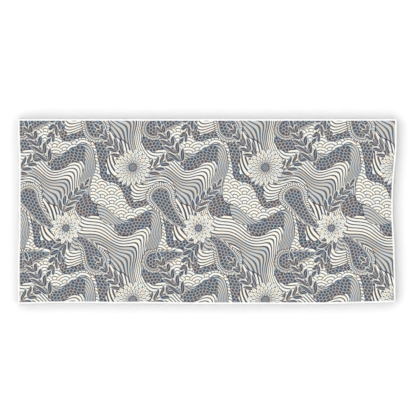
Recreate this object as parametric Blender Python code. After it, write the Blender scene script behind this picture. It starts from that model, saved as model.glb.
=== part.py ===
"""Beach towel lying face up: one cut of velour-faced terry with its narrow turned hem.

Metres, +Z up. X runs along the towel and Y across it. The origin is at the middle of the
towel's bounding box, on the surface that it lies on.
"""

import math
from collections import namedtuple

import bmesh
import bpy

# Driving sizes of the cut, its cloth and its hem
TOWEL_LENGTH = 1.524
TOWEL_WIDTH = 0.7445
CLOTH_THICKNESS = 0.0030
CORNER_RADIUS = 0.0050
RIM_UNDERCUT = 0.0008

# Cells of the field between the hems
FIELD_COLUMNS = 30
FIELD_ROWS = 16

# The hem seen in section, from the rim inwards: a rounded fold of doubled cloth, the
# stitched groove, and the full height of the pile
HemPoint = namedtuple("HemPoint", "inset height")
HEM_SECTION = (
    HemPoint(inset=0.0000, height=0.0024),
    HemPoint(inset=0.0012, height=0.0039),
    HemPoint(inset=0.0030, height=0.0044),
    HemPoint(inset=0.0048, height=0.0041),
    HemPoint(inset=0.0060, height=0.0022),
    HemPoint(inset=0.0082, height=CLOTH_THICKNESS),
)

# Where an edge is drawn in from the straight cut: the middle of the stretch and half its
# length, measured along the edge from the towel's middle, and the depth at its middle
EdgeDraw = namedtuple("EdgeDraw", "edge middle reach depth")
EDGE_DRAWS = (
    EdgeDraw(edge="right", middle=0.062, reach=0.230, depth=0.0144),
    EdgeDraw(edge="right", middle=-0.125, reach=0.225, depth=0.0088),
    EdgeDraw(edge="right", middle=-0.370, reach=0.250, depth=0.0046),
    EdgeDraw(edge="left", middle=0.170, reach=0.180, depth=0.0050),
    EdgeDraw(edge="left", middle=-0.045, reach=0.190, depth=0.0042),
    EdgeDraw(edge="bottom", middle=-0.560, reach=0.245, depth=0.0044),
    EdgeDraw(edge="bottom", middle=-0.270, reach=0.280, depth=0.0028),
    EdgeDraw(edge="bottom", middle=1.050, reach=0.660, depth=0.0125),
)

# Soft swells where the cloth doesn't lie quite flat: place, reach each way and rise
Swell = namedtuple("Swell", "x y reach_x reach_y rise")
SWELLS = (
    Swell(x=0.640, y=0.050, reach_x=0.150, reach_y=0.300, rise=0.0016),
    Swell(x=0.330, y=-0.190, reach_x=0.330, reach_y=0.150, rise=0.0009),
    Swell(x=0.060, y=0.160, reach_x=0.300, reach_y=0.190, rise=0.0011),
    Swell(x=-0.310, y=-0.120, reach_x=0.260, reach_y=0.220, rise=0.0010),
    Swell(x=-0.600, y=0.140, reach_x=0.180, reach_y=0.240, rise=0.0012),
)

VELOUR_COLOUR = (0.42, 0.42, 0.41, 1.0)


def bell(distance, reach):
    """1 in the middle of a stretch, falling smoothly to 0 at its ends."""
    share = min(abs(distance) / reach, 1.0)
    return 0.5 * (1.0 + math.cos(math.pi * share))


def edge_inset(edge, along):
    """How far an edge is drawn in, at a place along it measured from the middle."""
    draws = [draw for draw in EDGE_DRAWS if draw.edge == edge]
    return sum(draw.depth * bell(along - draw.middle, draw.reach) for draw in draws)


def swell_height(x, y):
    """The rise of the cloth's face at a place in the field."""
    return sum(
        swell.rise * bell(x - swell.x, swell.reach_x) * bell(y - swell.y, swell.reach_y)
        for swell in SWELLS
    )


def hem_height(inset):
    """The face's height over the surface, at a distance in from the rim."""
    for outer, inner in zip(HEM_SECTION, HEM_SECTION[1:]):
        if inset <= inner.inset:
            share = (inset - outer.inset) / (inner.inset - outer.inset)
            return outer.height + share * (inner.height - outer.height)
    return CLOTH_THICKNESS


def stations(length, field_cells):
    """Distances from one edge to the other: both hems' lines, and even cells between."""
    hem = [point.inset for point in HEM_SECTION]
    field = length - 2.0 * hem[-1]
    inner = [hem[-1] + field * cell / field_cells for cell in range(1, field_cells)]
    return hem + inner + [length - inset for inset in reversed(hem)]


def rounded_corner(from_side, from_end):
    """Moves a point near a corner, given by its distances in, onto the rounded corner."""
    side = CORNER_RADIUS - from_side
    end = CORNER_RADIUS - from_end
    if side <= 0.0 or end <= 0.0:
        return from_side, from_end
    shrink = max(side, end) / math.hypot(side, end)
    return CORNER_RADIUS - side * shrink, CORNER_RADIUS - end * shrink


def in_outline(left, bottom):
    """The place of a point given by its distances from the left and bottom cuts."""
    to_side = min(left, TOWEL_LENGTH - left)
    to_end = min(bottom, TOWEL_WIDTH - bottom)
    side, end = rounded_corner(to_side, to_end)
    x = math.copysign(0.5 * TOWEL_LENGTH - side, left - 0.5 * TOWEL_LENGTH)
    y = math.copysign(0.5 * TOWEL_WIDTH - end, bottom - 0.5 * TOWEL_WIDTH)
    across = x / TOWEL_LENGTH + 0.5
    up = y / TOWEL_WIDTH + 0.5
    moved_x = x + (1.0 - across) * edge_inset("left", y) - across * edge_inset("right", y)
    moved_y = y + (1.0 - up) * edge_inset("bottom", x)
    return moved_x, moved_y


def face_point(left, bottom):
    """A point of the towel's face."""
    x, y = in_outline(left, bottom)
    inset = min(left, TOWEL_LENGTH - left, bottom, TOWEL_WIDTH - bottom)
    lift = swell_height(x, y) * min(inset / HEM_SECTION[-1].inset, 1.0)
    return x, y, hem_height(inset) + lift


def under_point(left, bottom):
    """A point of the flat underside, a little inside the rounded rim."""
    left = min(max(left, RIM_UNDERCUT), TOWEL_LENGTH - RIM_UNDERCUT)
    bottom = min(max(bottom, RIM_UNDERCUT), TOWEL_WIDTH - RIM_UNDERCUT)
    return *in_outline(left, bottom), 0.0


def flatten_underside(bm):
    """Makes the underside one flat face."""
    under = [face for face in bm.faces if all(vert.co.z == 0.0 for vert in face.verts)]
    bmesh.ops.dissolve_faces(bm, faces=under, use_verts=False)


def towel_mesh():
    """A grid raised to one layer of cells, with each corner then put in its place."""
    columns = stations(TOWEL_LENGTH, FIELD_COLUMNS)
    rows = stations(TOWEL_WIDTH, FIELD_ROWS)
    bm = bmesh.new()
    bmesh.ops.create_grid(
        bm, x_segments=len(columns) - 1, y_segments=len(rows) - 1, size=1.0
    )
    raised = bmesh.ops.extrude_face_region(bm, geom=bm.faces[:])["geom"]
    top = {item for item in raised if isinstance(item, bmesh.types.BMVert)}
    for vert in bm.verts:
        column = round((vert.co.x + 1.0) / 2.0 * (len(columns) - 1))
        row = round((vert.co.y + 1.0) / 2.0 * (len(rows) - 1))
        place = face_point if vert in top else under_point
        vert.co = place(columns[column], rows[row])
    flatten_underside(bm)
    bmesh.ops.recalc_face_normals(bm, faces=bm.faces[:])
    mesh = bpy.data.meshes.new("towel")
    bm.to_mesh(mesh)
    bm.free()
    mesh.shade_smooth()
    mesh.set_sharp_from_angle(angle=math.radians(50.0))
    return mesh


def velour_material():
    """Printed cotton velour, in the print's mean colour."""
    material = bpy.data.materials.new("velour")
    material.use_nodes = True
    shader = material.node_tree.nodes["Principled BSDF"]
    shader.inputs["Base Color"].default_value = VELOUR_COLOUR
    shader.inputs["Roughness"].default_value = 0.95
    shader.inputs["Metallic"].default_value = 0.0
    shader.inputs["Sheen Weight"].default_value = 0.3
    return material


def clear_scene():
    """Removes what the file opened with."""
    for item in list(bpy.data.objects):
        bpy.data.objects.remove(item, do_unlink=True)


def main():
    clear_scene()
    collection = bpy.data.collections.new("beach_towel")
    bpy.context.scene.collection.children.link(collection)
    towel = bpy.data.objects.new("towel", towel_mesh())
    towel.data.materials.append(velour_material())
    collection.objects.link(towel)


main()
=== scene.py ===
"""Looks of a beach towel that lies face up: printed velour, a white hem and a terry back.

Metres, +Z up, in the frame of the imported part: X runs along the towel and Y across it, and
the towel lies on the floor at Z = 0.
"""

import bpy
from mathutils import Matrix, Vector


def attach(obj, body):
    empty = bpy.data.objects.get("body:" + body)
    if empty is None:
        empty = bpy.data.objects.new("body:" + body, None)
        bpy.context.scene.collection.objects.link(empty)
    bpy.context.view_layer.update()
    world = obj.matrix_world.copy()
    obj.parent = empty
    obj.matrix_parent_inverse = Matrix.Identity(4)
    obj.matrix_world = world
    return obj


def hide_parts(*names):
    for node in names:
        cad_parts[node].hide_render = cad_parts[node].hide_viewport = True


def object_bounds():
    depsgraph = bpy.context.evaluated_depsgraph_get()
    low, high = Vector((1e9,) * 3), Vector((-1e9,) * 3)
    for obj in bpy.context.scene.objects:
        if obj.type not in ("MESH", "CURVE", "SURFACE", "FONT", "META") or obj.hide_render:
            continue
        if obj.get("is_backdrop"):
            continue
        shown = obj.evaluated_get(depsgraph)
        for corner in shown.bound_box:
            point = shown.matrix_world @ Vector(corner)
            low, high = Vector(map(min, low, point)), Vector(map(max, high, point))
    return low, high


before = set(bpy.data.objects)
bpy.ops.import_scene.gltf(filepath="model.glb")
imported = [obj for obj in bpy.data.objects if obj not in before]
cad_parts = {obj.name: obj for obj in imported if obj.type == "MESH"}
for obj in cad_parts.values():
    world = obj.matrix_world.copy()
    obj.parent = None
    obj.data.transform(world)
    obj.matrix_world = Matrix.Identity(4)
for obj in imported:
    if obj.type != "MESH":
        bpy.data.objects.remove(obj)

import inspect
import math
from collections import namedtuple

import bmesh
import bpy
from mathutils import Vector

cad_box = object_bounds()

# The cut, its cloth and its hem, as in the part
TOWEL_LENGTH = 1.524
TOWEL_WIDTH = 0.7445
CLOTH_THICKNESS = 0.0030
CORNER_RADIUS = 0.0050
HEM_WIDTH = 0.0060

# Cells of the field between the hems
FIELD_COLUMNS = 280
FIELD_ROWS = 132

# The towel in section, from the nose of the folded rim, over the hem, down into the
# stitched groove and up to the pile. under is the height of the underside below each point
HemPoint = namedtuple("HemPoint", "inset height under")
HEM_SECTION = (
    HemPoint(inset=0.0000, height=0.0024, under=0.0016),
    HemPoint(inset=0.0001, height=0.0030, under=0.0010),
    HemPoint(inset=0.0005, height=0.0037, under=0.0004),
    HemPoint(inset=0.0012, height=0.0041, under=0.0001),
    HemPoint(inset=0.0022, height=0.0043, under=0.0000),
    HemPoint(inset=0.0034, height=0.0044, under=0.0000),
    HemPoint(inset=0.0044, height=0.0043, under=0.0001),
    HemPoint(inset=0.0053, height=0.0038, under=0.0005),
    HemPoint(inset=0.0060, height=0.0024, under=0.0012),
    HemPoint(inset=0.0066, height=0.0026, under=0.0009),
    HemPoint(inset=0.0082, height=CLOTH_THICKNESS, under=0.0000),
)

# Where an edge is drawn in from the straight cut: the middle of the stretch and half its
# length, measured along the edge from the towel's middle, and the depth at its middle
EdgeDraw = namedtuple("EdgeDraw", "edge middle reach depth")
EDGE_DRAWS = (
    EdgeDraw(edge="right", middle=0.062, reach=0.230, depth=0.0144),
    EdgeDraw(edge="right", middle=-0.125, reach=0.225, depth=0.0088),
    EdgeDraw(edge="right", middle=-0.370, reach=0.250, depth=0.0046),
    EdgeDraw(edge="left", middle=0.170, reach=0.180, depth=0.0050),
    EdgeDraw(edge="left", middle=-0.045, reach=0.190, depth=0.0042),
    EdgeDraw(edge="bottom", middle=-0.560, reach=0.245, depth=0.0044),
    EdgeDraw(edge="bottom", middle=-0.270, reach=0.280, depth=0.0028),
    EdgeDraw(edge="bottom", middle=1.050, reach=0.660, depth=0.0125),
)

# Soft swells where the cloth doesn't lie quite flat: place, reach each way and rise
Swell = namedtuple("Swell", "x y reach_x reach_y rise")
SWELLS = (
    Swell(x=0.640, y=0.050, reach_x=0.150, reach_y=0.300, rise=0.0016),
    Swell(x=0.330, y=-0.190, reach_x=0.330, reach_y=0.150, rise=0.0009),
    Swell(x=0.060, y=0.160, reach_x=0.300, reach_y=0.190, rise=0.0011),
    Swell(x=-0.310, y=-0.120, reach_x=0.260, reach_y=0.220, rise=0.0010),
    Swell(x=-0.600, y=0.140, reach_x=0.180, reach_y=0.240, rise=0.0012),
)

# Small waves along the edges, from the pull of the hem's thread: how far they move the rim
# and lift the hem, the lengths of their two parts, and how far one is ahead, in radians
EDGE_RIPPLE = 0.0002
HEM_PUCKER = 0.0001
SHORT_RIPPLE = 0.023
LONG_RIPPLE = 0.037
RIPPLE_LEAD = 1.0

# The thread that holds the hem: its thickness, the length of a stitch, how far apart they
# start, how high one bows and the share of that which lies below the groove's bed, the
# length of a turn of the thread's two plies, and the sides and steps of a stitch's mesh
THREAD_RADIUS = 0.00028
STITCH_LENGTH = 0.0030
STITCH_PITCH = 0.0036
STITCH_BOW = 0.0004
STITCH_SUNK = 0.4
THREAD_TWIST = 0.0007
THREAD_SIDES = 6
THREAD_STEPS = 4

# The print's repeat, the same both ways, and how soft the pile leaves a printed edge
REPEAT = 0.534
PRINT_SOFTNESS = 0.0006

# Widths of the print's lines, from the vein of a leaf to the edge of a band
HAIR_LINE = 0.0013
FINE_LINE = 0.0026
LINE = 0.0032
FLOW_LINE = 0.0043
BOLD_LINE = 0.0050
CELL_WALL = 0.0028

# Tones of the print, where 0 is bare cloth, 0.5 the pale ink and 1 the dark ink
HALO_TONE = 0.12
TINT_TONE = 0.26
PALE_TONE = 0.42
SOFT_TONE = 0.88
DARK_TONE = 0.95

# Dyes: the bare cloth, where it is cool and where it is warm, the pale ink likewise, the
# two dark inks, the cotton that isn't printed, on its loops, and a darker grey that paints the
# shade in the gaps between loops and plies
COOL_CREAM = (0.775, 0.788, 0.753)
WARM_CREAM = (0.827, 0.784, 0.674)
COOL_MIST = (0.264, 0.326, 0.390)
WARM_MIST = (0.344, 0.330, 0.302)
SLATE = (0.037, 0.061, 0.095)
PLUM = (0.092, 0.059, 0.071)
WHITE_COTTON = (0.88, 0.88, 0.87)
GAP_COTTON = (0.76, 0.76, 0.75)

# Tufts of the face, loops of the hem, loops of the back and fibres of the face, to the
# metre, and how high the face, the hem, the back and the thread's plies stand
FACE_TUFTS = 1300.0
HEM_LOOPS = 900.0
BACK_LOOPS = 520.0
FACE_FIBRES = 4200.0
FACE_RELIEF = 0.0005
HEM_RELIEF = 0.0002
BACK_RELIEF = 0.0009
THREAD_RELIEF = 0.0001

# The flat maps: their name, and on the sheet's its border and the height up to which it
# holds the underside
MAP_NAME = "OFBake"
MAP_EDGE = 0.004
MAP_SPLIT = 0.24

# A whole turn, how far a wave's slope is ahead of it, in waves, and the distance between
# the diagonals of the repeat, along which the bands run
TURN = 2.0 * math.pi
QUARTER_WAVE = 0.25
DIAGONAL = REPEAT / math.sqrt(2.0)


class Field:
    """A number that varies over the cloth. Arithmetic with it adds Math nodes to its tree."""

    def __init__(self, socket):
        self.socket = socket

    def math(self, operation, *others, clamp=False):
        tree = self.socket.id_data
        node = tree.nodes.new("ShaderNodeMath")
        node.operation = operation
        node.use_clamp = clamp
        for slot, value in zip(node.inputs, (self, *others)):
            feed(tree, slot, value)
        return Field(node.outputs[0])

    def __add__(self, other):
        return self.math("ADD", other)

    def __sub__(self, other):
        return self.math("SUBTRACT", other)

    def __rsub__(self, other):
        return self.math("MULTIPLY_ADD", -1.0, other)

    def __mul__(self, other):
        return self.math("MULTIPLY", other)

    def __truediv__(self, other):
        return self.math("DIVIDE", other)

    def __rtruediv__(self, other):
        return self.math("POWER", -1.0) * other

    __radd__ = __add__
    __rmul__ = __mul__


def feed(tree, slot, value):
    """Links a field to a node's input, or sets a plain number there."""
    if isinstance(value, Field):
        tree.links.new(value.socket, slot)
    else:
        slot.default_value = value


def as_group(formula):
    """Keeps a formula of fields as a node group, which each call of it adds as one node."""
    made = []

    def call(*values):
        if not made:
            made.append(group_of(formula))
        tree = next(value.socket.id_data for value in values if isinstance(value, Field))
        node = tree.nodes.new("ShaderNodeGroup")
        node.node_tree = made[0]
        for slot, value in zip(node.inputs, values):
            feed(tree, slot, value)
        results = [Field(socket) for socket in node.outputs]
        return results[0] if len(results) == 1 else results

    return call


def group_of(formula):
    """A node group with a formula's named inputs, and an output for each result."""
    group = bpy.data.node_groups.new(formula.__name__, "ShaderNodeTree")
    for name in inspect.signature(formula).parameters:
        group.interface.new_socket(name, in_out="INPUT", socket_type="NodeSocketFloat")
    entry = group.nodes.new("NodeGroupInput")
    results = formula(*(Field(socket) for socket in entry.outputs if socket.name))
    results = results if isinstance(results, tuple) else (results,)
    for place in range(len(results)):
        name = f"result {place + 1}"
        group.interface.new_socket(name, in_out="OUTPUT", socket_type="NodeSocketFloat")
    leave = group.nodes.new("NodeGroupOutput")
    for slot, result in zip(leave.inputs, results):
        group.links.new(result.socket, slot)
    return group


def size_of(value):
    """The number without its sign."""
    return value.math("ABSOLUTE")


def root(value):
    """Square root."""
    return value.math("SQRT")


def wave(value):
    """Sine of a number of whole turns."""
    return (value * TURN).math("SINE")


def limited(value):
    """Held between 0 and 1."""
    return value.math("ADD", 0.0, clamp=True)


def greatest(first, *others):
    for other in others:
        first = first.math("MAXIMUM", other)
    return first


def near_whole(value):
    """Distance to the nearest whole number."""
    return value.math("PINGPONG", 0.5)


def over(below, above, mask):
    """The tone above where the mask is 1, and the tone below where it is 0."""
    return mask.math("MULTIPLY_ADD", above - below, below)


def drawn(distance, width):
    """1 on a line of this width, from the distance to its middle, and 0 beside it."""
    steep = 1.0 / PRINT_SOFTNESS
    return distance.math("MULTIPLY_ADD", -steep, 0.5 * width * steep + 0.5, clamp=True)


def filled(depth):
    """1 inside an outline and 0 outside, from the depth inside it."""
    return depth.math("MULTIPLY_ADD", 1.0 / PRINT_SOFTNESS, 0.5, clamp=True)


def about(x, y, spot):
    """Coordinates from a motif's centre, along its own direction and across."""
    half = 0.5 * REPEAT
    right = (x - spot.x * REPEAT).math("WRAP", half, -half)
    up = (y - spot.y * REPEAT).math("WRAP", half, -half)
    cosine, sine = math.cos(spot.turn), math.sin(spot.turn)
    return right * cosine + up * sine, up * cosine - right * sine


def scales(x, y, pitch, rise, rows):
    """Overlapping round scales: the distance from the middle of the one in front, over its
    radius. rise is the step from row to row, over the pitch, and rows is how many of them
    reach one place."""
    first = (y / (pitch * rise)).math("FLOOR")
    cover = 2.0
    for step in reversed(range(rows)):
        row = first + (step + 1 - rows // 2)
        right = (x / pitch + row * 0.5).math("WRAP", 0.5, -0.5) * 2.0
        up = (y - row * (pitch * rise)) / (0.5 * pitch)
        distance = root(right * right + up * up)
        cover = over(cover, distance, filled((1.0 - distance) * (0.5 * pitch)))
    return cover


@as_group
def honeycomb(x, y, pitch):
    """Tone of dark six-sided cells with pale walls."""
    slope = math.sin(math.radians(60.0))
    height = 2.0 * slope * pitch
    depths = []
    for shift in (0.0, 0.5):
        right = near_whole(x / pitch + shift) * pitch
        up = near_whole(y / height + shift) * height
        depths.append(0.5 * pitch - greatest(right, right * 0.5 + up * slope))
    return over(PALE_TONE, DARK_TONE, filled(greatest(*depths) - 0.5 * CELL_WALL))


# Fans across the repeat, the arcs in each, and how their rows overlap
FAN_COLUMNS = 7
FAN_ARCS = 3.0
FAN_RISE = 0.25
FAN_ROWS = 4


@as_group
def fans(x, y):
    """Tone of rows of fans with arcs in them."""
    radius = 0.5 * REPEAT / FAN_COLUMNS
    distance = scales(x, y, 2.0 * radius, FAN_RISE, FAN_ROWS)
    arcs = drawn(near_whole(distance * FAN_ARCS) * (radius / FAN_ARCS), LINE)
    return greatest(arcs, drawn(size_of(distance - 1.0) * radius, BOLD_LINE))


# A bloom's rings of petals and its heart, as shares of its radius, how far the petals'
# tips are cut, over their width, where their ribs end, and the seeds: their pitch, their
# size, as a share of that, and how their rows overlap
PETAL_RINGS = (1.0, 0.80, 0.58, 0.38)
HEART_SHARE = 0.20
PETAL_CUT = 1.8
RIB_GAP = 0.006
SEED_PITCH = 0.008
SEED_SIZE = 0.6
SEED_RISE = 0.5
SEED_ROWS = 2


@as_group
def bloom(x, y, radius, petals):
    """Tone and mask of a chrysanthemum: rings of petals round a seeded heart."""
    out = root(x * x + y * y)
    around = y.math("ARCTAN2", x) / TURN
    tone = 0.0
    mask = 0.0
    notch = PETAL_CUT / petals
    for ring, share in enumerate(PETAL_RINGS):
        phase = near_whole(around * petals + 0.5 * ring)
        width = out * TURN / petals
        rim = radius * share * (1.0 - notch + notch * wave(phase + QUARTER_WAVE)) - out
        sides = drawn((0.5 - phase) * width, FINE_LINE)
        rib = drawn(phase * width, HAIR_LINE) * filled(rim - RIB_GAP) * SOFT_TONE
        ink = greatest(drawn(size_of(rim), LINE), sides, rib)
        cover = filled(rim + 0.5 * LINE)
        tone = over(tone, ink, cover)
        mask = greatest(cover, mask)
    heart = radius * HEART_SHARE - out
    seed = SEED_SIZE - scales(x, y, SEED_PITCH, SEED_RISE, SEED_ROWS)
    seeds = over(DARK_TONE, PALE_TONE, filled(seed * (0.5 * SEED_PITCH)))
    tone = over(tone, seeds, filled(heart))
    return greatest(tone, drawn(size_of(heart), LINE)), mask


# A spray's pairs of leaves, how far they lean forward for each step out, how much shorter
# the last are, how full they are, at the stem and how much less so at the tip, the end
# leaf's length and width over the others', and the width under which a leaf isn't drawn
LEAF_PAIRS = 5
LEAF_LEAN = 1.1
LEAF_TAPER = 0.6
LEAF_FULLNESS = 1.6
LEAF_BASE = 1.25
LEAF_POINT = 0.5
END_LENGTH = 0.6
END_WIDTH = 0.9
LEAST_WIDTH = 0.0005


@as_group
def spray(along, across, length, leaf, bend):
    """Tone, mask and halo of a bent stem with pairs of leaves."""
    slant = math.sqrt(1.0 + LEAF_LEAN * LEAF_LEAN)
    far = limited(along / length)
    side = size_of(across - bend * far * far)
    pitch = length / LEAF_PAIRS
    back = along - side * LEAF_LEAN
    joint = ((back / pitch).math("FLOOR") + 0.5) * pitch
    reach = leaf * (1.0 - LEAF_TAPER * limited(joint / length))
    share = limited(side * slant / reach)
    off = size_of(back - joint) / slant
    full = pitch * (LEAF_FULLNESS / slant)
    leaf_edge = full * share * (1.0 - share) * (LEAF_BASE - LEAF_POINT * share)
    gap = leaf_edge - off - LEAST_WIDTH
    on_stem = filled(joint) * filled(length - joint) * filled(reach - side * slant)
    leaves = filled(gap) * on_stem
    halo = filled(gap + FINE_LINE) * on_stem
    stem = filled(along) * filled(length - along) * filled(0.5 * LINE - side)
    tip = (along - length) / (leaf * END_LENGTH)
    end = pitch * END_WIDTH * tip * (1.0 - tip) - side
    tone = over(DARK_TONE, PALE_TONE, drawn(off, HAIR_LINE))
    mask = greatest(leaves, stem, filled(end))
    return tone, mask, greatest(halo, filled(end + FINE_LINE))


# A paisley's tail, how far that curls and how thin it gets, over its size, its outlines
# and its core, as shares of its outer edge, and its scallops, spokes and cells
PAISLEY_TAIL = 3.3
PAISLEY_CURL = 1.35
PAISLEY_THINNING = 0.93
PAISLEY_EDGE = 1.06
PAISLEY_BORDER = 1.03
PAISLEY_OUTLINE = 0.80
PAISLEY_INLINE = 0.68
PAISLEY_CORE = 0.60
PAISLEY_SCALLOPS = 16
PAISLEY_SCALLOP_DEPTH = 0.08
PAISLEY_SPOKES = 48
PAISLEY_CELLS = 0.0135


@as_group
def paisley(along, across, size):
    """Tone and mask of a paisley: a scalloped border, two outlines and a core of cells."""
    far = greatest(along / size, 0.0) / PAISLEY_TAIL
    held = limited(far)
    middle = PAISLEY_CURL * held * held
    wide = (across / size - middle) / (1.0 - PAISLEY_THINNING * held)
    tall = greatest(along / size * -1.0, far * far)
    shell = root(wide * wide + tall * tall)
    around = wide.math("ARCTAN2", along / size) / TURN
    scallop = size_of(wave(around * (0.5 * PAISLEY_SCALLOPS)))
    lobed = shell / (1.0 + PAISLEY_SCALLOP_DEPTH * scallop)
    spoke = near_whole(around * PAISLEY_SPOKES) * shell * size * (TURN / PAISLEY_SPOKES)
    ink = greatest(
        drawn(size_of(lobed - PAISLEY_BORDER) * size, LINE),
        drawn(size_of(shell - PAISLEY_OUTLINE) * size, LINE),
        drawn(size_of(shell - PAISLEY_INLINE) * size, FINE_LINE),
        drawn(spoke, FINE_LINE) * filled((shell - PAISLEY_OUTLINE) * size),
    )
    core = (PAISLEY_CORE - shell) * size
    tone = over(ink, honeycomb(along, across, PAISLEY_CELLS), filled(core))
    tone = greatest(tone, drawn(size_of(core), LINE))
    return tone, filled((PAISLEY_EDGE - lobed) * size)


# Where each motif stands in the repeat, as shares of it, and the way it points
Bloom = namedtuple("Bloom", "x y turn radius petals")
BLOOMS = (
    Bloom(x=0.43, y=0.33, turn=0.1, radius=0.076, petals=20),
    Bloom(x=0.93, y=0.88, turn=0.4, radius=0.066, petals=11),
)
Spray = namedtuple("Spray", "x y turn length leaf bend")
SPRAYS = (
    Spray(x=0.52, y=0.28, turn=0.45, length=0.15, leaf=0.062, bend=0.030),
    Spray(x=0.38, y=0.42, turn=2.5, length=0.14, leaf=0.058, bend=-0.030),
    Spray(x=0.96, y=0.84, turn=-2.2, length=0.16, leaf=0.064, bend=0.030),
    Spray(x=0.90, y=0.98, turn=1.1, length=0.14, leaf=0.060, bend=-0.035),
    Spray(x=0.80, y=0.36, turn=1.9, length=0.16, leaf=0.066, bend=0.030),
)
Paisley = namedtuple("Paisley", "x y turn size hand")
PAISLEYS = (
    Paisley(x=0.17, y=0.62, turn=2.0, size=0.052, hand=1.0),
    Paisley(x=0.66, y=0.10, turn=-1.2, size=0.056, hand=1.0),
    Paisley(x=0.60, y=0.62, turn=0.6, size=0.045, hand=-1.0),
)

# Bands that flow across the print: where each starts in the repeat, how far and how often
# that edge swings, its scallops, and what fills the band
Band = namedtuple("Band", "start swing times phase scallops depth fill")
BANDS = (
    Band(start=0.17, swing=0.05, times=2, phase=0.70, scallops=14, depth=0.030, fill="cells"),
    Band(start=0.27, swing=0.11, times=2, phase=0.15, scallops=0, depth=0.0, fill="grey"),
    Band(start=0.38, swing=0.06, times=1, phase=0.50, scallops=0, depth=0.0, fill="fans"),
    Band(start=0.54, swing=0.06, times=1, phase=0.10, scallops=0, depth=0.0, fill="cells"),
    Band(start=0.66, swing=0.07, times=2, phase=0.90, scallops=16, depth=0.025, fill="flow"),
    Band(start=0.84, swing=0.06, times=2, phase=0.35, scallops=0, depth=0.0, fill="grey"),
)


# How far the drawing drifts to the right and up, as shares of the repeat: a long wave and
# a short one each, with their counts across and up the repeat and where they start
Drift = namedtuple("Drift", "depth across up start")
RIGHT_DRIFTS = (
    Drift(depth=0.009, across=0, up=2, start=0.1),
    Drift(depth=0.004, across=1, up=5, start=0.0),
)
UP_DRIFTS = (
    Drift(depth=0.009, across=2, up=0, start=0.6),
    Drift(depth=0.004, across=4, up=-1, start=0.3),
)


@as_group
def hand_drawn(x, y):
    """The same place, moved a little as a hand would, the same in each repeat."""
    u = x / REPEAT
    v = y / REPEAT
    right, up = (
        sum(part.depth * wave(u * part.across + v * part.up + part.start) for part in drifts)
        for drifts in (RIGHT_DRIFTS, UP_DRIFTS)
    )
    return x + right * REPEAT, y + up * REPEAT


# How far the bands sway, as shares of the repeat, in how many waves along them, and where
# these start
Sway = namedtuple("Sway", "depth waves start")
SWAYS = (
    Sway(depth=0.13, waves=1, start=0.10),
    Sway(depth=0.03, waves=2, start=0.37),
)
CROSS_SWAY = 0.05
CROSS_WAVES = 2.0

# The bands' lines and cells, in a repeat, and how far the cells drift, in how many waves
FLOW_LINES = 28.0
GREY_LINES = 30.0
CELL_COLUMNS = 38
CELL_DRIFT = 0.004
CELL_WAVES_UP = 7.0
CELL_WAVES_ACROSS = 6.0


@as_group
def banded(x, y):
    """Tone of the flowing bands that lie under the other motifs."""
    u = x / REPEAT
    v = y / REPEAT
    up = u + v
    along = u - v
    sway = sum(part.depth * wave(along * part.waves + part.start) for part in SWAYS)
    place = (up + sway + CROSS_SWAY * wave(up + along * CROSS_WAVES)).math("FRACT")
    rise = sum(
        part.depth * part.waves * wave(along * part.waves + (part.start + QUARTER_WAVE))
        for part in SWAYS
    )
    slope = rise * TURN
    metres = (slope * slope + 1.0).math("INVERSE_SQRT") * DIAGONAL
    flow = near_whole(place * FLOW_LINES) / FLOW_LINES * metres
    grey = near_whole(place * GREY_LINES) / GREY_LINES * metres
    cell_x = x + CELL_DRIFT * wave(v * CELL_WAVES_UP)
    cell_y = y + CELL_DRIFT * wave(u * CELL_WAVES_ACROSS)
    fills = {
        "cells": honeycomb(cell_x, cell_y, REPEAT / CELL_COLUMNS),
        "fans": fans(x, y),
        "flow": drawn(flow, FLOW_LINE),
        "grey": over(TINT_TONE, SOFT_TONE, drawn(grey, FLOW_LINE)),
    }
    tone = fills["flow"]
    for band in BANDS:
        edge = band.start + band.swing * wave(along * band.times + band.phase)
        if band.scallops:
            edge = edge + band.depth * size_of(wave(along * (0.5 * band.scallops)))
        depth = (place - edge) * metres
        part = greatest(fills[band.fill], drawn(size_of(depth), BOLD_LINE))
        tone = over(tone, part, filled(depth))
    return greatest(tone, drawn(near_whole(place) * metres, BOLD_LINE))


def print_tone(x, y):
    """How dark the print is, from bare cream cloth at 0 to full ink at 1."""
    x, y = hand_drawn(x, y)
    tone = banded(x, y)
    for spot in PAISLEYS:
        along, across = about(x, y, spot)
        above, mask = paisley(along, across * spot.hand, spot.size)
        tone = over(tone, above, mask)
    for spot in SPRAYS:
        above, mask, halo = spray(*about(x, y, spot), spot.length, spot.leaf, spot.bend)
        tone = over(over(tone, HALO_TONE, halo), above, mask)
    for spot in BLOOMS:
        above, mask = bloom(*about(x, y, spot), spot.radius, spot.petals)
        tone = over(tone, above, mask)
    return tone


# How far the patches of dye wander, and in how many waves in a repeat
PATCH_BEND = 0.3
PATCH_BENDS_ACROSS = 3.0
PATCH_BENDS_UP = 2.0

# Where the dark ink is plum and not slate, and where the cream and the pale ink are warm:
# the waves of patches each way in a repeat, and how strong they are
Patch = namedtuple("Patch", "across up strength")
PLUM_PATCHES = (
    Patch(across=4, up=5, strength=0.7),
    Patch(across=13, up=11, strength=0.6),
)
WARM_PATCHES = (
    Patch(across=6, up=7, strength=0.6),
    Patch(across=19, up=17, strength=0.6),
)


@as_group
def patches(x, y, across, up):
    """Soft patches from -1 to 1, this many waves each way in a repeat."""
    u = x / REPEAT
    v = y / REPEAT
    right = wave(u * across + PATCH_BEND * wave(v * PATCH_BENDS_UP))
    return right * wave(v * up + PATCH_BEND * wave(u * PATCH_BENDS_ACROSS))


def mottled(x, y, table):
    """A share from 0 to 1 that varies over the cloth, as a table of patches says."""
    return limited(sum(patches(x, y, row.across, row.up) * row.strength for row in table) + 0.5)


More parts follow.
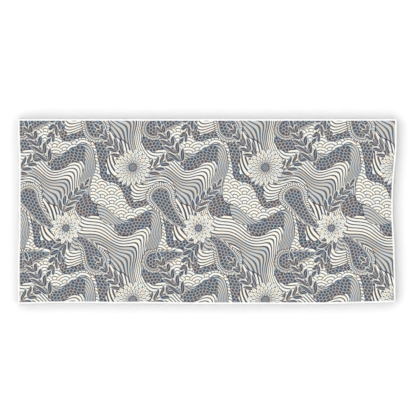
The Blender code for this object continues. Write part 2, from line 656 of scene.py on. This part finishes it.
def new_material(name, colour, roughness, sheen):
    """A material with a Principled shader, and the shader."""
    material = bpy.data.materials.new(name)
    material.use_nodes = True
    shader = material.node_tree.nodes["Principled BSDF"]
    shader.inputs["Base Color"].default_value = (*colour, 1.0)
    shader.inputs["Roughness"].default_value = roughness
    shader.inputs["Sheen Weight"].default_value = sheen
    shader.inputs["Sheen Roughness"].default_value = 0.5
    shader.inputs["Specular IOR Level"].default_value = 0.15
    return material, shader


def split(tree, vector):
    """X and Y of a vector, as fields."""
    node = tree.nodes.new("ShaderNodeSeparateXYZ")
    tree.links.new(vector, node.inputs[0])
    return Field(node.outputs[0]), Field(node.outputs[1])


def tufts(tree, place, scale):
    """Tufts of pile or loops, this many to the metre: the middle of the one at a place, its
    height there from its rim to its tip, and a chance number of its own, both from 0 to 1."""
    node = tree.nodes.new("ShaderNodeTexVoronoi")
    node.voronoi_dimensions = "2D"
    node.inputs["Scale"].default_value = scale
    tree.links.new(place, node.inputs["Vector"])
    height = limited(1.0 - Field(node.outputs["Distance"]))
    return node.outputs["Position"], height, split(tree, node.outputs["Color"])[0]


def noise(tree, vector, scale, detail):
    """A noise texture's value as a field."""
    node = tree.nodes.new("ShaderNodeTexNoise")
    node.inputs["Scale"].default_value = scale
    node.inputs["Detail"].default_value = detail
    tree.links.new(vector, node.inputs["Vector"])
    return Field(node.outputs["Fac"])


def mixed(tree, share, low, high):
    """A colour between two others, each a plain colour or a socket."""
    node = tree.nodes.new("ShaderNodeMix")
    node.data_type = "RGBA"
    feed(tree, node.inputs[0], share)
    for slot, colour in ((node.inputs[6], low), (node.inputs[7], high)):
        if isinstance(colour, tuple):
            slot.default_value = (*colour, 1.0)
        else:
            tree.links.new(colour, slot)
    return node.outputs[2]


def shaded(tree, colour, strength):
    """A colour made lighter or darker by a field near 1."""
    node = tree.nodes.new("ShaderNodeVectorMath")
    node.operation = "SCALE"
    tree.links.new(colour, node.inputs[0])
    feed(tree, node.inputs["Scale"], strength)
    return node.outputs[0]


def raise_pile(tree, shader, height, distance):
    """Turns a field from 0 to 1 into relief that many metres high."""
    node = tree.nodes.new("ShaderNodeBump")
    node.inputs["Distance"].default_value = distance
    tree.links.new(height.socket, node.inputs["Height"])
    tree.links.new(node.outputs["Normal"], shader.inputs["Normal"])


def cloth_place(tree):
    """The place on the cloth."""
    return tree.nodes.new("ShaderNodeTexCoord").outputs["Object"]


# How light the dyed face is: the least, and what is added by painted sheen in soft patches
# where the nap lies differently, by painted shade that darkens each tuft's rim below its tip, by
# its fibres and by each tuft's own take of the dye, then the painted sheen's patches, to the
# metre, and the share of the pile, and not its fibres, in the relief
NAP_LEAST = 0.65
NAP_LIE = 0.10
NAP_PILE = 0.20
NAP_FIBRE = 0.24
NAP_TUFT = 0.12
NAP_PATCHES = 9.0
RELIEF_PILE = 0.6


def printed_velour():
    """The sheared face: the print, its colour painted with soft patches of sheen and with shade
    at each tuft's rim, and a fine pile.
    """
    material, shader = new_material("printed_velour", WARM_CREAM, roughness=0.95, sheen=0.12)
    tree = material.node_tree
    place = cloth_place(tree)
    middle, pile, chance = tufts(tree, place, FACE_TUFTS)
    fibre = noise(tree, place, FACE_FIBRES, detail=1.0)
    lie = noise(tree, place, NAP_PATCHES, detail=2.0)
    x, y = split(tree, middle)
    tone = print_tone(x, y) * 2.0
    warm = mottled(x, y, WARM_PATCHES)
    bare = mixed(tree, warm, COOL_CREAM, WARM_CREAM)
    pale_ink = mixed(tree, warm, COOL_MIST, WARM_MIST)
    dark_ink = mixed(tree, mottled(x, y, PLUM_PATCHES), SLATE, PLUM)
    colour = mixed(tree, limited(tone), bare, pale_ink)
    colour = mixed(tree, limited(tone - 1.0), colour, dark_ink)
    # Painted sheen in soft patches and painted shade at each tuft's rim, with the fibres and each
    # tuft's own dye
    nap = lie * NAP_LIE + pile * NAP_PILE + fibre * NAP_FIBRE + chance * NAP_TUFT
    tree.links.new(shaded(tree, colour, nap + NAP_LEAST), shader.inputs["Base Color"])
    relief = pile * RELIEF_PILE + fibre * (1.0 - RELIEF_PILE)
    raise_pile(tree, shader, relief, FACE_RELIEF)
    return material


# How soon a loop or a ply turns white, up from the painted shade of the gap beside it, and
# how unlike the loops are in height
HEM_WHITENING = 2.0
BACK_WHITENING = 1.2
THREAD_WHITENING = 1.5
HEM_UNEVENNESS = 0.5
BACK_UNEVENNESS = 0.6


def looped_white(name, roughness, loops, whitening, unevenness, relief):
    """White cotton without a print, covered with this many loops to the metre, with shade painted
    into the gaps between them.
    """
    material, shader = new_material(name, WHITE_COTTON, roughness=roughness, sheen=0.1)
    tree = material.node_tree
    _, loop, chance = tufts(tree, cloth_place(tree), loops)
    # Painted shade: the colour darkens from each loop's tip down to the gap beside it
    white = mixed(tree, loop * whitening, GAP_COTTON, WHITE_COTTON)
    tree.links.new(white, shader.inputs["Base Color"])
    raise_pile(tree, shader, loop + chance * unevenness, relief)
    return material


def white_hem():
    """The plain hem: doubled cloth, its loops pressed flat."""
    return looped_white(
        "white_hem", 0.9, HEM_LOOPS, HEM_WHITENING, HEM_UNEVENNESS, HEM_RELIEF
    )


def terry_back():
    """The underside, of uncut loops."""
    return looped_white(
        "terry_back", 0.95, BACK_LOOPS, BACK_WHITENING, BACK_UNEVENNESS, BACK_RELIEF
    )


def white_thread():
    """The hem's sewing thread, of two plies twisted together, with shade painted into the grooves
    between them.
    """
    material, shader = new_material("sewing_thread", WHITE_COTTON, roughness=0.7, sheen=0.1)
    tree = material.node_tree
    x, y = split(tree, cloth_place(tree))
    # Painted shade: darker in the grooves between the plies, white on their crowns
    plies = near_whole((x + y) / THREAD_TWIST) * 2.0
    white = mixed(tree, plies * THREAD_WHITENING, GAP_COTTON, WHITE_COTTON)
    tree.links.new(white, shader.inputs["Base Color"])
    raise_pile(tree, shader, plies, THREAD_RELIEF)
    return material


def bell(distance, reach):
    """1 in the middle of a stretch, falling smoothly to 0 at its ends."""
    share = min(abs(distance) / reach, 1.0)
    return 0.5 * (1.0 + math.cos(math.pi * share))


def ripple(along):
    """An uneven wave from -1 to 1, at a place along an edge."""
    short = math.sin(TURN * along / SHORT_RIPPLE)
    long = math.sin(TURN * along / LONG_RIPPLE + RIPPLE_LEAD)
    return 0.5 * (short + long)


def edge_inset(edge, along):
    """How far an edge is drawn in, at a place along it measured from the middle."""
    draws = [draw for draw in EDGE_DRAWS if draw.edge == edge]
    drawn_in = sum(draw.depth * bell(along - draw.middle, draw.reach) for draw in draws)
    return drawn_in + EDGE_RIPPLE * (1.0 + ripple(along))


def swell_height(x, y):
    """The rise of the cloth's face at a place in the field."""
    return sum(
        swell.rise * bell(x - swell.x, swell.reach_x) * bell(y - swell.y, swell.reach_y)
        for swell in SWELLS
    )


def stations(length, field_cells):
    """Distances from one edge to the other: both hems' lines, and even cells between."""
    hem = [point.inset for point in HEM_SECTION]
    field = length - 2.0 * hem[-1]
    inner = [hem[-1] + field * cell / field_cells for cell in range(1, field_cells)]
    return hem + inner + [length - inset for inset in reversed(hem)]


def rounded_corner(from_side, from_end):
    """Moves a point near a corner, given by its distances in, onto the rounded corner."""
    side = CORNER_RADIUS - from_side
    end = CORNER_RADIUS - from_end
    if side <= 0.0 or end <= 0.0:
        return from_side, from_end
    shrink = max(side, end) / math.hypot(side, end)
    return CORNER_RADIUS - side * shrink, CORNER_RADIUS - end * shrink


def in_outline(left, bottom):
    """The place of a point given by its distances from the left and bottom cuts."""
    to_side = min(left, TOWEL_LENGTH - left)
    to_end = min(bottom, TOWEL_WIDTH - bottom)
    side, end = rounded_corner(to_side, to_end)
    x = math.copysign(0.5 * TOWEL_LENGTH - side, left - 0.5 * TOWEL_LENGTH)
    y = math.copysign(0.5 * TOWEL_WIDTH - end, bottom - 0.5 * TOWEL_WIDTH)
    across = x / TOWEL_LENGTH + 0.5
    up = y / TOWEL_WIDTH + 0.5
    moved_x = x + (1.0 - across) * edge_inset("left", y) - across * edge_inset("right", y)
    moved_y = y + (1.0 - up) * edge_inset("bottom", x) - up * edge_inset("top", x)
    return moved_x, moved_y


def pucker(x, y):
    """How far the hem's thread lifts the hem at a place."""
    return HEM_PUCKER * (ripple(x) + ripple(y))


def over_surface(places):
    """How far each line of the face's grid is over the surface from the nose's underside."""
    reach = [HEM_SECTION[0].height - HEM_SECTION[0].under]
    hem = len(HEM_SECTION) - 1
    for number in range(1, len(places)):
        before, here = (min(i, len(places) - 1 - i, hem) for i in (number - 1, number))
        rise = HEM_SECTION[here].height - HEM_SECTION[before].height
        reach.append(reach[-1] + math.hypot(places[number] - places[number - 1], rise))
    return reach


def lay_flat(bm, cells, top, columns, rows):
    """The sheet's flat map for its colours: the face with the hem and the rim unrolled
    round it, and the underside below them. cells holds each point's column and row."""
    layer = bm.loops.layers.uv.new(MAP_NAME)
    sides = []
    for places in (columns, rows):
        reach = over_surface(places)
        span = reach[-1] + reach[0]
        foot = [0.0, *reach[1:-1], span]
        sides.append(([x / span for x in reach], [x / span for x in foot]))
    (face_x, foot_x), (face_y, foot_y) = sides
    for face in bm.faces:
        under = not any(vert in top for vert in face.verts)
        low, high = (MAP_EDGE, MAP_SPLIT - MAP_EDGE) if under else (MAP_SPLIT, 1.0 - MAP_EDGE)
        for loop in face.loops:
            column, row = cells[loop.vert]
            raised = loop.vert in top
            x = face_x[column] if raised else foot_x[column]
            y = face_y[row] if raised else foot_y[row]
            loop[layer].uv = (MAP_EDGE + x * (1.0 - 2.0 * MAP_EDGE), low + y * (high - low))


# The sheet's materials, by their place in its list
PRINTED, HEM, BACK = 0, 1, 2


def shade_parts(bm, ring_of, top):
    """Gives each face its material: the print or the back inside the groove, or the hem."""
    groove = next(i for i, point in enumerate(HEM_SECTION) if point.inset == HEM_WIDTH)
    for face in bm.faces:
        if min(ring_of[vert] for vert in face.verts) <= groove:
            face.material_index = HEM
        else:
            face.material_index = PRINTED if face.verts[0] in top else BACK


def towel_mesh():
    """A closed sheet: a grid raised to one layer of cells, each corner put in its place."""
    columns = stations(TOWEL_LENGTH, FIELD_COLUMNS)
    rows = stations(TOWEL_WIDTH, FIELD_ROWS)
    lines = len(HEM_SECTION) - 1
    bm = bmesh.new()
    bmesh.ops.create_grid(
        bm, x_segments=len(columns) - 1, y_segments=len(rows) - 1, size=1.0
    )
    raised = bmesh.ops.extrude_face_region(bm, geom=bm.faces[:])["geom"]
    top = {item for item in raised if isinstance(item, bmesh.types.BMVert)}
    ring_of, cells = {}, {}
    for vert in bm.verts:
        column = round((vert.co.x + 1.0) / 2.0 * (len(columns) - 1))
        row = round((vert.co.y + 1.0) / 2.0 * (len(rows) - 1))
        cells[vert] = (column, row)
        ring = min(column, len(columns) - 1 - column, row, len(rows) - 1 - row, lines)
        x, y = in_outline(columns[column], rows[row])
        if vert in top:
            lift = swell_height(x, y) if ring == lines else pucker(x, y)
            vert.co = (x, y, HEM_SECTION[ring].height + lift)
        else:
            vert.co = (x, y, HEM_SECTION[ring].under)
        ring_of[vert] = ring
    shade_parts(bm, ring_of, top)
    lay_flat(bm, cells, top, columns, rows)
    bmesh.ops.recalc_face_normals(bm, faces=bm.faces[:])
    mesh = bpy.data.meshes.new("towel_sheet")
    bm.to_mesh(mesh)
    bm.free()
    mesh.shade_smooth()
    return mesh


def stitch_rings(middle, along_x, outward):
    """The rings of points round one stitch, a short bow of thread whose ends dip into the
    cloth. middle is its place by distances from the left and bottom cuts, and outward is 1
    on the face and -1 on the underside."""
    left, bottom = middle
    x, y = in_outline(left, bottom)
    groove = next(point for point in HEM_SECTION if point.inset == HEM_WIDTH)
    bed = groove.height + pucker(x, y) if outward > 0 else groove.under
    rings = []
    for step in range(THREAD_STEPS + 1):
        along = 2.0 * step / THREAD_STEPS - 1.0
        ahead = 0.5 * along * STITCH_LENGTH
        bow = 0.5 * THREAD_RADIUS + STITCH_BOW * (1.0 - STITCH_SUNK - along * along)
        rise = bed + outward * bow
        ring = []
        for side in range(THREAD_SIDES):
            turn = TURN * side / THREAD_SIDES
            beside = THREAD_RADIUS * math.cos(turn)
            height = rise + THREAD_RADIUS * math.sin(turn)
            if along_x:
                ring.append((x + ahead, y + beside, height))
            else:
                ring.append((x + beside, y + ahead, height))
        rings.append(ring)
    return rings


def thread_faces(first):
    """The faces round one stitch, whose points start at this number, and its two ends."""
    faces = []
    for step in range(THREAD_STEPS):
        for side in range(THREAD_SIDES):
            following = (side + 1) % THREAD_SIDES
            near = first + step * THREAD_SIDES
            far = near + THREAD_SIDES
            faces.append((near + side, near + following, far + following, far + side))
    last = first + THREAD_STEPS * THREAD_SIDES
    faces.append(tuple(first + side for side in reversed(range(THREAD_SIDES))))
    faces.append(tuple(last + side for side in range(THREAD_SIDES)))
    return faces


def seam_places():
    """The middles of all stitches, along the groove on each side of the towel."""
    sides = ((TOWEL_LENGTH, TOWEL_WIDTH, True), (TOWEL_WIDTH, TOWEL_LENGTH, False))
    for length, width, along_x in sides:
        run = length - 2.0 * HEM_WIDTH
        count = round(run / STITCH_PITCH)
        for inset in (HEM_WIDTH, width - HEM_WIDTH):
            for number in range(count):
                ahead = HEM_WIDTH + run * (number + 0.5) / count
                yield ((ahead, inset) if along_x else (inset, ahead)), along_x


# The flat map of a stitch, in a square of its own: how far in from the square's edges the
# middles of its ends, its unrolled side and that side's seam lie, and an end's half sizes
END_MARGIN = 0.10
SIDE_MARGIN = 0.20
SEAM_MARGIN = 0.05
END_REACH_X = 0.06
END_REACH_Y = 0.40


def between(margin, share):
    """A place in the square, this share of the way from one margin to the other."""
    return margin + (1.0 - 2.0 * margin) * share


def lay_threads_flat(bm):
    """The stitches' flat map: a square for each, with its side unrolled between its ends."""
    layer = bm.loops.layers.uv.new(MAP_NAME)
    bm.verts.index_update()
    each = (THREAD_STEPS + 1) * THREAD_SIDES
    squares = math.ceil(math.sqrt(len(bm.verts) / each))
    for face in bm.faces:
        stitch = face.verts[0].index // each
        spots = [divmod(loop.vert.index % each, THREAD_SIDES) for loop in face.loops]
        is_end = len({step for step, side in spots}) == 1
        wraps = max(side for step, side in spots) == THREAD_SIDES - 1
        for loop, (step, side) in zip(face.loops, spots):
            ahead = step / THREAD_STEPS
            if is_end:
                turn = TURN * side / THREAD_SIDES
                x = between(END_MARGIN, ahead) + END_REACH_X * math.cos(turn)
                y = 0.5 + END_REACH_Y * math.sin(turn)
            else:
                unrolled = THREAD_SIDES if wraps and side == 0 else side
                x = between(SIDE_MARGIN, ahead)
                y = between(SEAM_MARGIN, unrolled / THREAD_SIDES)
            loop[layer].uv = ((stitch % squares + x) / squares, (stitch // squares + y) / squares)


def add_object(name, data):
    """A new object in the scene, with its mesh, light or camera."""
    item = bpy.data.objects.new(name, data)
    bpy.context.scene.collection.objects.link(item)
    return item


def build_stitches():
    """The hem's stitching, in the groove between the hem and the print and below it."""
    points, faces = [], []
    for outward in (1, -1):
        for middle, along_x in seam_places():
            faces += thread_faces(len(points))
            for ring in stitch_rings(middle, along_x, outward):
                points += ring
    mesh = bpy.data.meshes.new("hem_stitches")
    mesh.from_pydata(points, [], faces)
    bm = bmesh.new()
    bm.from_mesh(mesh)
    bmesh.ops.recalc_face_normals(bm, faces=bm.faces[:])
    lay_threads_flat(bm)
    bm.to_mesh(mesh)
    bm.free()
    mesh.shade_smooth()
    mesh.materials.append(white_thread())
    stitches = add_object("hem_stitches", mesh)
    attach(stitches, "root")
    return stitches


def build_towel(floor, stitches):
    """The towel, in place of its plain solid."""
    mesh = towel_mesh()
    for material in (printed_velour(), white_hem(), terry_back()):
        mesh.materials.append(material)
    towel = add_object("towel_sheet", mesh)
    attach(towel, "root")
    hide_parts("towel")
    flat = (TOWEL_WIDTH, TOWEL_LENGTH)
    return towel


# The picture is square and this wide at the cloth's face, with the towel's middle a little
# below and left of its own. The sensor's width is in millimetres
PICTURE_WIDTH = 1.6737
PICTURE_MIDDLE = (0.0024, 0.0141)
CAMERA_HEIGHT = 3.2
SENSOR = 36.0


def add_camera():
    """Straight over the towel, with its long side level in the picture."""
    data = bpy.data.cameras.new("camera")
    data.sensor_width = SENSOR
    data.lens = SENSOR * (CAMERA_HEIGHT - CLOTH_THICKNESS) / PICTURE_WIDTH
    camera = add_object("camera", data)
    camera.location = (*PICTURE_MIDDLE, CAMERA_HEIGHT)
    bpy.context.scene.camera = camera


# The floor reaches this far each way, and its pale grey is one that the rings of lights
# below show as white
FLOOR_REACH = 12.0
FLOOR_TONE = 0.45

# The studio's light on a level surface, where 1 shows a white one as white: an even dome, a
# soft light on the towel from the left and the front, and two rings of low lights that
# reach only the floor, where they draw the towel's soft shadow. The rings are stronger to
# the left and a little to the front. Angles are in degrees
DOME_SHARE = 0.20
Lamp = namedtuple("Lamp", "azimuth elevation spread share")
TOWEL_LAMP = Lamp(azimuth=215.0, elevation=75.0, spread=70.0, share=1.02)
Ring = namedtuple("Ring", "count elevation spread share")
FLOOR_RINGS = (
    Ring(count=12, elevation=4.8, spread=8.2, share=0.58),
    Ring(count=8, elevation=21.0, spread=25.0, share=0.37),
)
RING_TO_LEFT = 0.36
RING_TO_FRONT = 0.07


def add_floor():
    """A plain floor, on which the towel lies."""
    bm = bmesh.new()
    bmesh.ops.create_grid(bm, x_segments=1, y_segments=1, size=FLOOR_REACH)
    mesh = bpy.data.meshes.new("floor")
    bm.to_mesh(mesh)
    bm.free()
    material, _ = new_material("floor", (FLOOR_TONE,) * 3, roughness=1.0, sheen=0.0)
    mesh.materials.append(material)
    floor = add_object("floor", mesh)
    floor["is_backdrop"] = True
    return floor


def add_sun(name, lamp, lit):
    """A soft distant light that gives a level surface its share, and lights some pieces."""
    data = bpy.data.lights.new(name, "SUN")
    data.angle = math.radians(lamp.spread)
    height = math.sin(math.radians(lamp.elevation))
    data.energy = math.pi * lamp.share / height
    level = math.cos(math.radians(lamp.elevation))
    turn = math.radians(lamp.azimuth)
    towards = Vector((level * math.cos(turn), level * math.sin(turn), height))
    sun = add_object(name, data)
    sun.rotation_euler = towards.to_track_quat("Z", "Y").to_euler()
    sun.light_linking.receiver_collection = lit


def add_backdrop():
    """A dome of even light that shows as a plain white backdrop."""
    world = bpy.data.worlds.new("studio")
    world.use_nodes = True
    tree = world.node_tree
    light = tree.nodes["Background"]
    white = tree.nodes.new("ShaderNodeBackground")
    for node, strength in ((light, DOME_SHARE), (white, 1.0)):
        node.inputs["Color"].default_value = (1.0, 1.0, 1.0, 1.0)
        node.inputs["Strength"].default_value = strength
    rays = tree.nodes.new("ShaderNodeLightPath")
    choice = tree.nodes.new("ShaderNodeMixShader")
    tree.links.new(rays.outputs["Is Camera Ray"], choice.inputs[0])
    tree.links.new(light.outputs[0], choice.inputs[1])
    tree.links.new(white.outputs[0], choice.inputs[2])
    tree.links.new(choice.outputs[0], tree.nodes["World Output"].inputs["Surface"])
    bpy.context.scene.world = world


def add_lights(pieces, floor):
    """The towel's light and the floor's rings."""
    cloth = bpy.data.collections.new("lit_as_cloth")
    for piece in pieces:
        cloth.objects.link(piece)
    ground = bpy.data.collections.new("lit_as_floor")
    ground.objects.link(floor)
    add_sun("light_towel", TOWEL_LAMP, cloth)
    for number, ring in enumerate(FLOOR_RINGS, start=1):
        for step in range(ring.count):
            azimuth = 360.0 * step / ring.count
            turn = math.radians(azimuth)
            lean = 1.0 - RING_TO_LEFT * math.cos(turn) - RING_TO_FRONT * math.sin(turn)
            share = ring.share / FLOOR_TONE * lean / ring.count
            lamp = Lamp(azimuth, ring.elevation, ring.spread, share)
            add_sun(f"light_ring_{number}_{step + 1}", lamp, ground)


def write_sizes():
    """The box of the part and the box of what shows, side by side."""
    boxes = {"cad": cad_box, "visual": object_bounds()}
    plain = {name: [list(map(float, corner)) for corner in box] for name, box in boxes.items()}


bpy.context.scene.view_settings.view_transform = "Standard"
add_camera()
floor = add_floor()
stitches = build_stitches()
towel = build_towel(floor, stitches)
add_backdrop()
add_lights([towel, stitches], floor)
write_sizes()
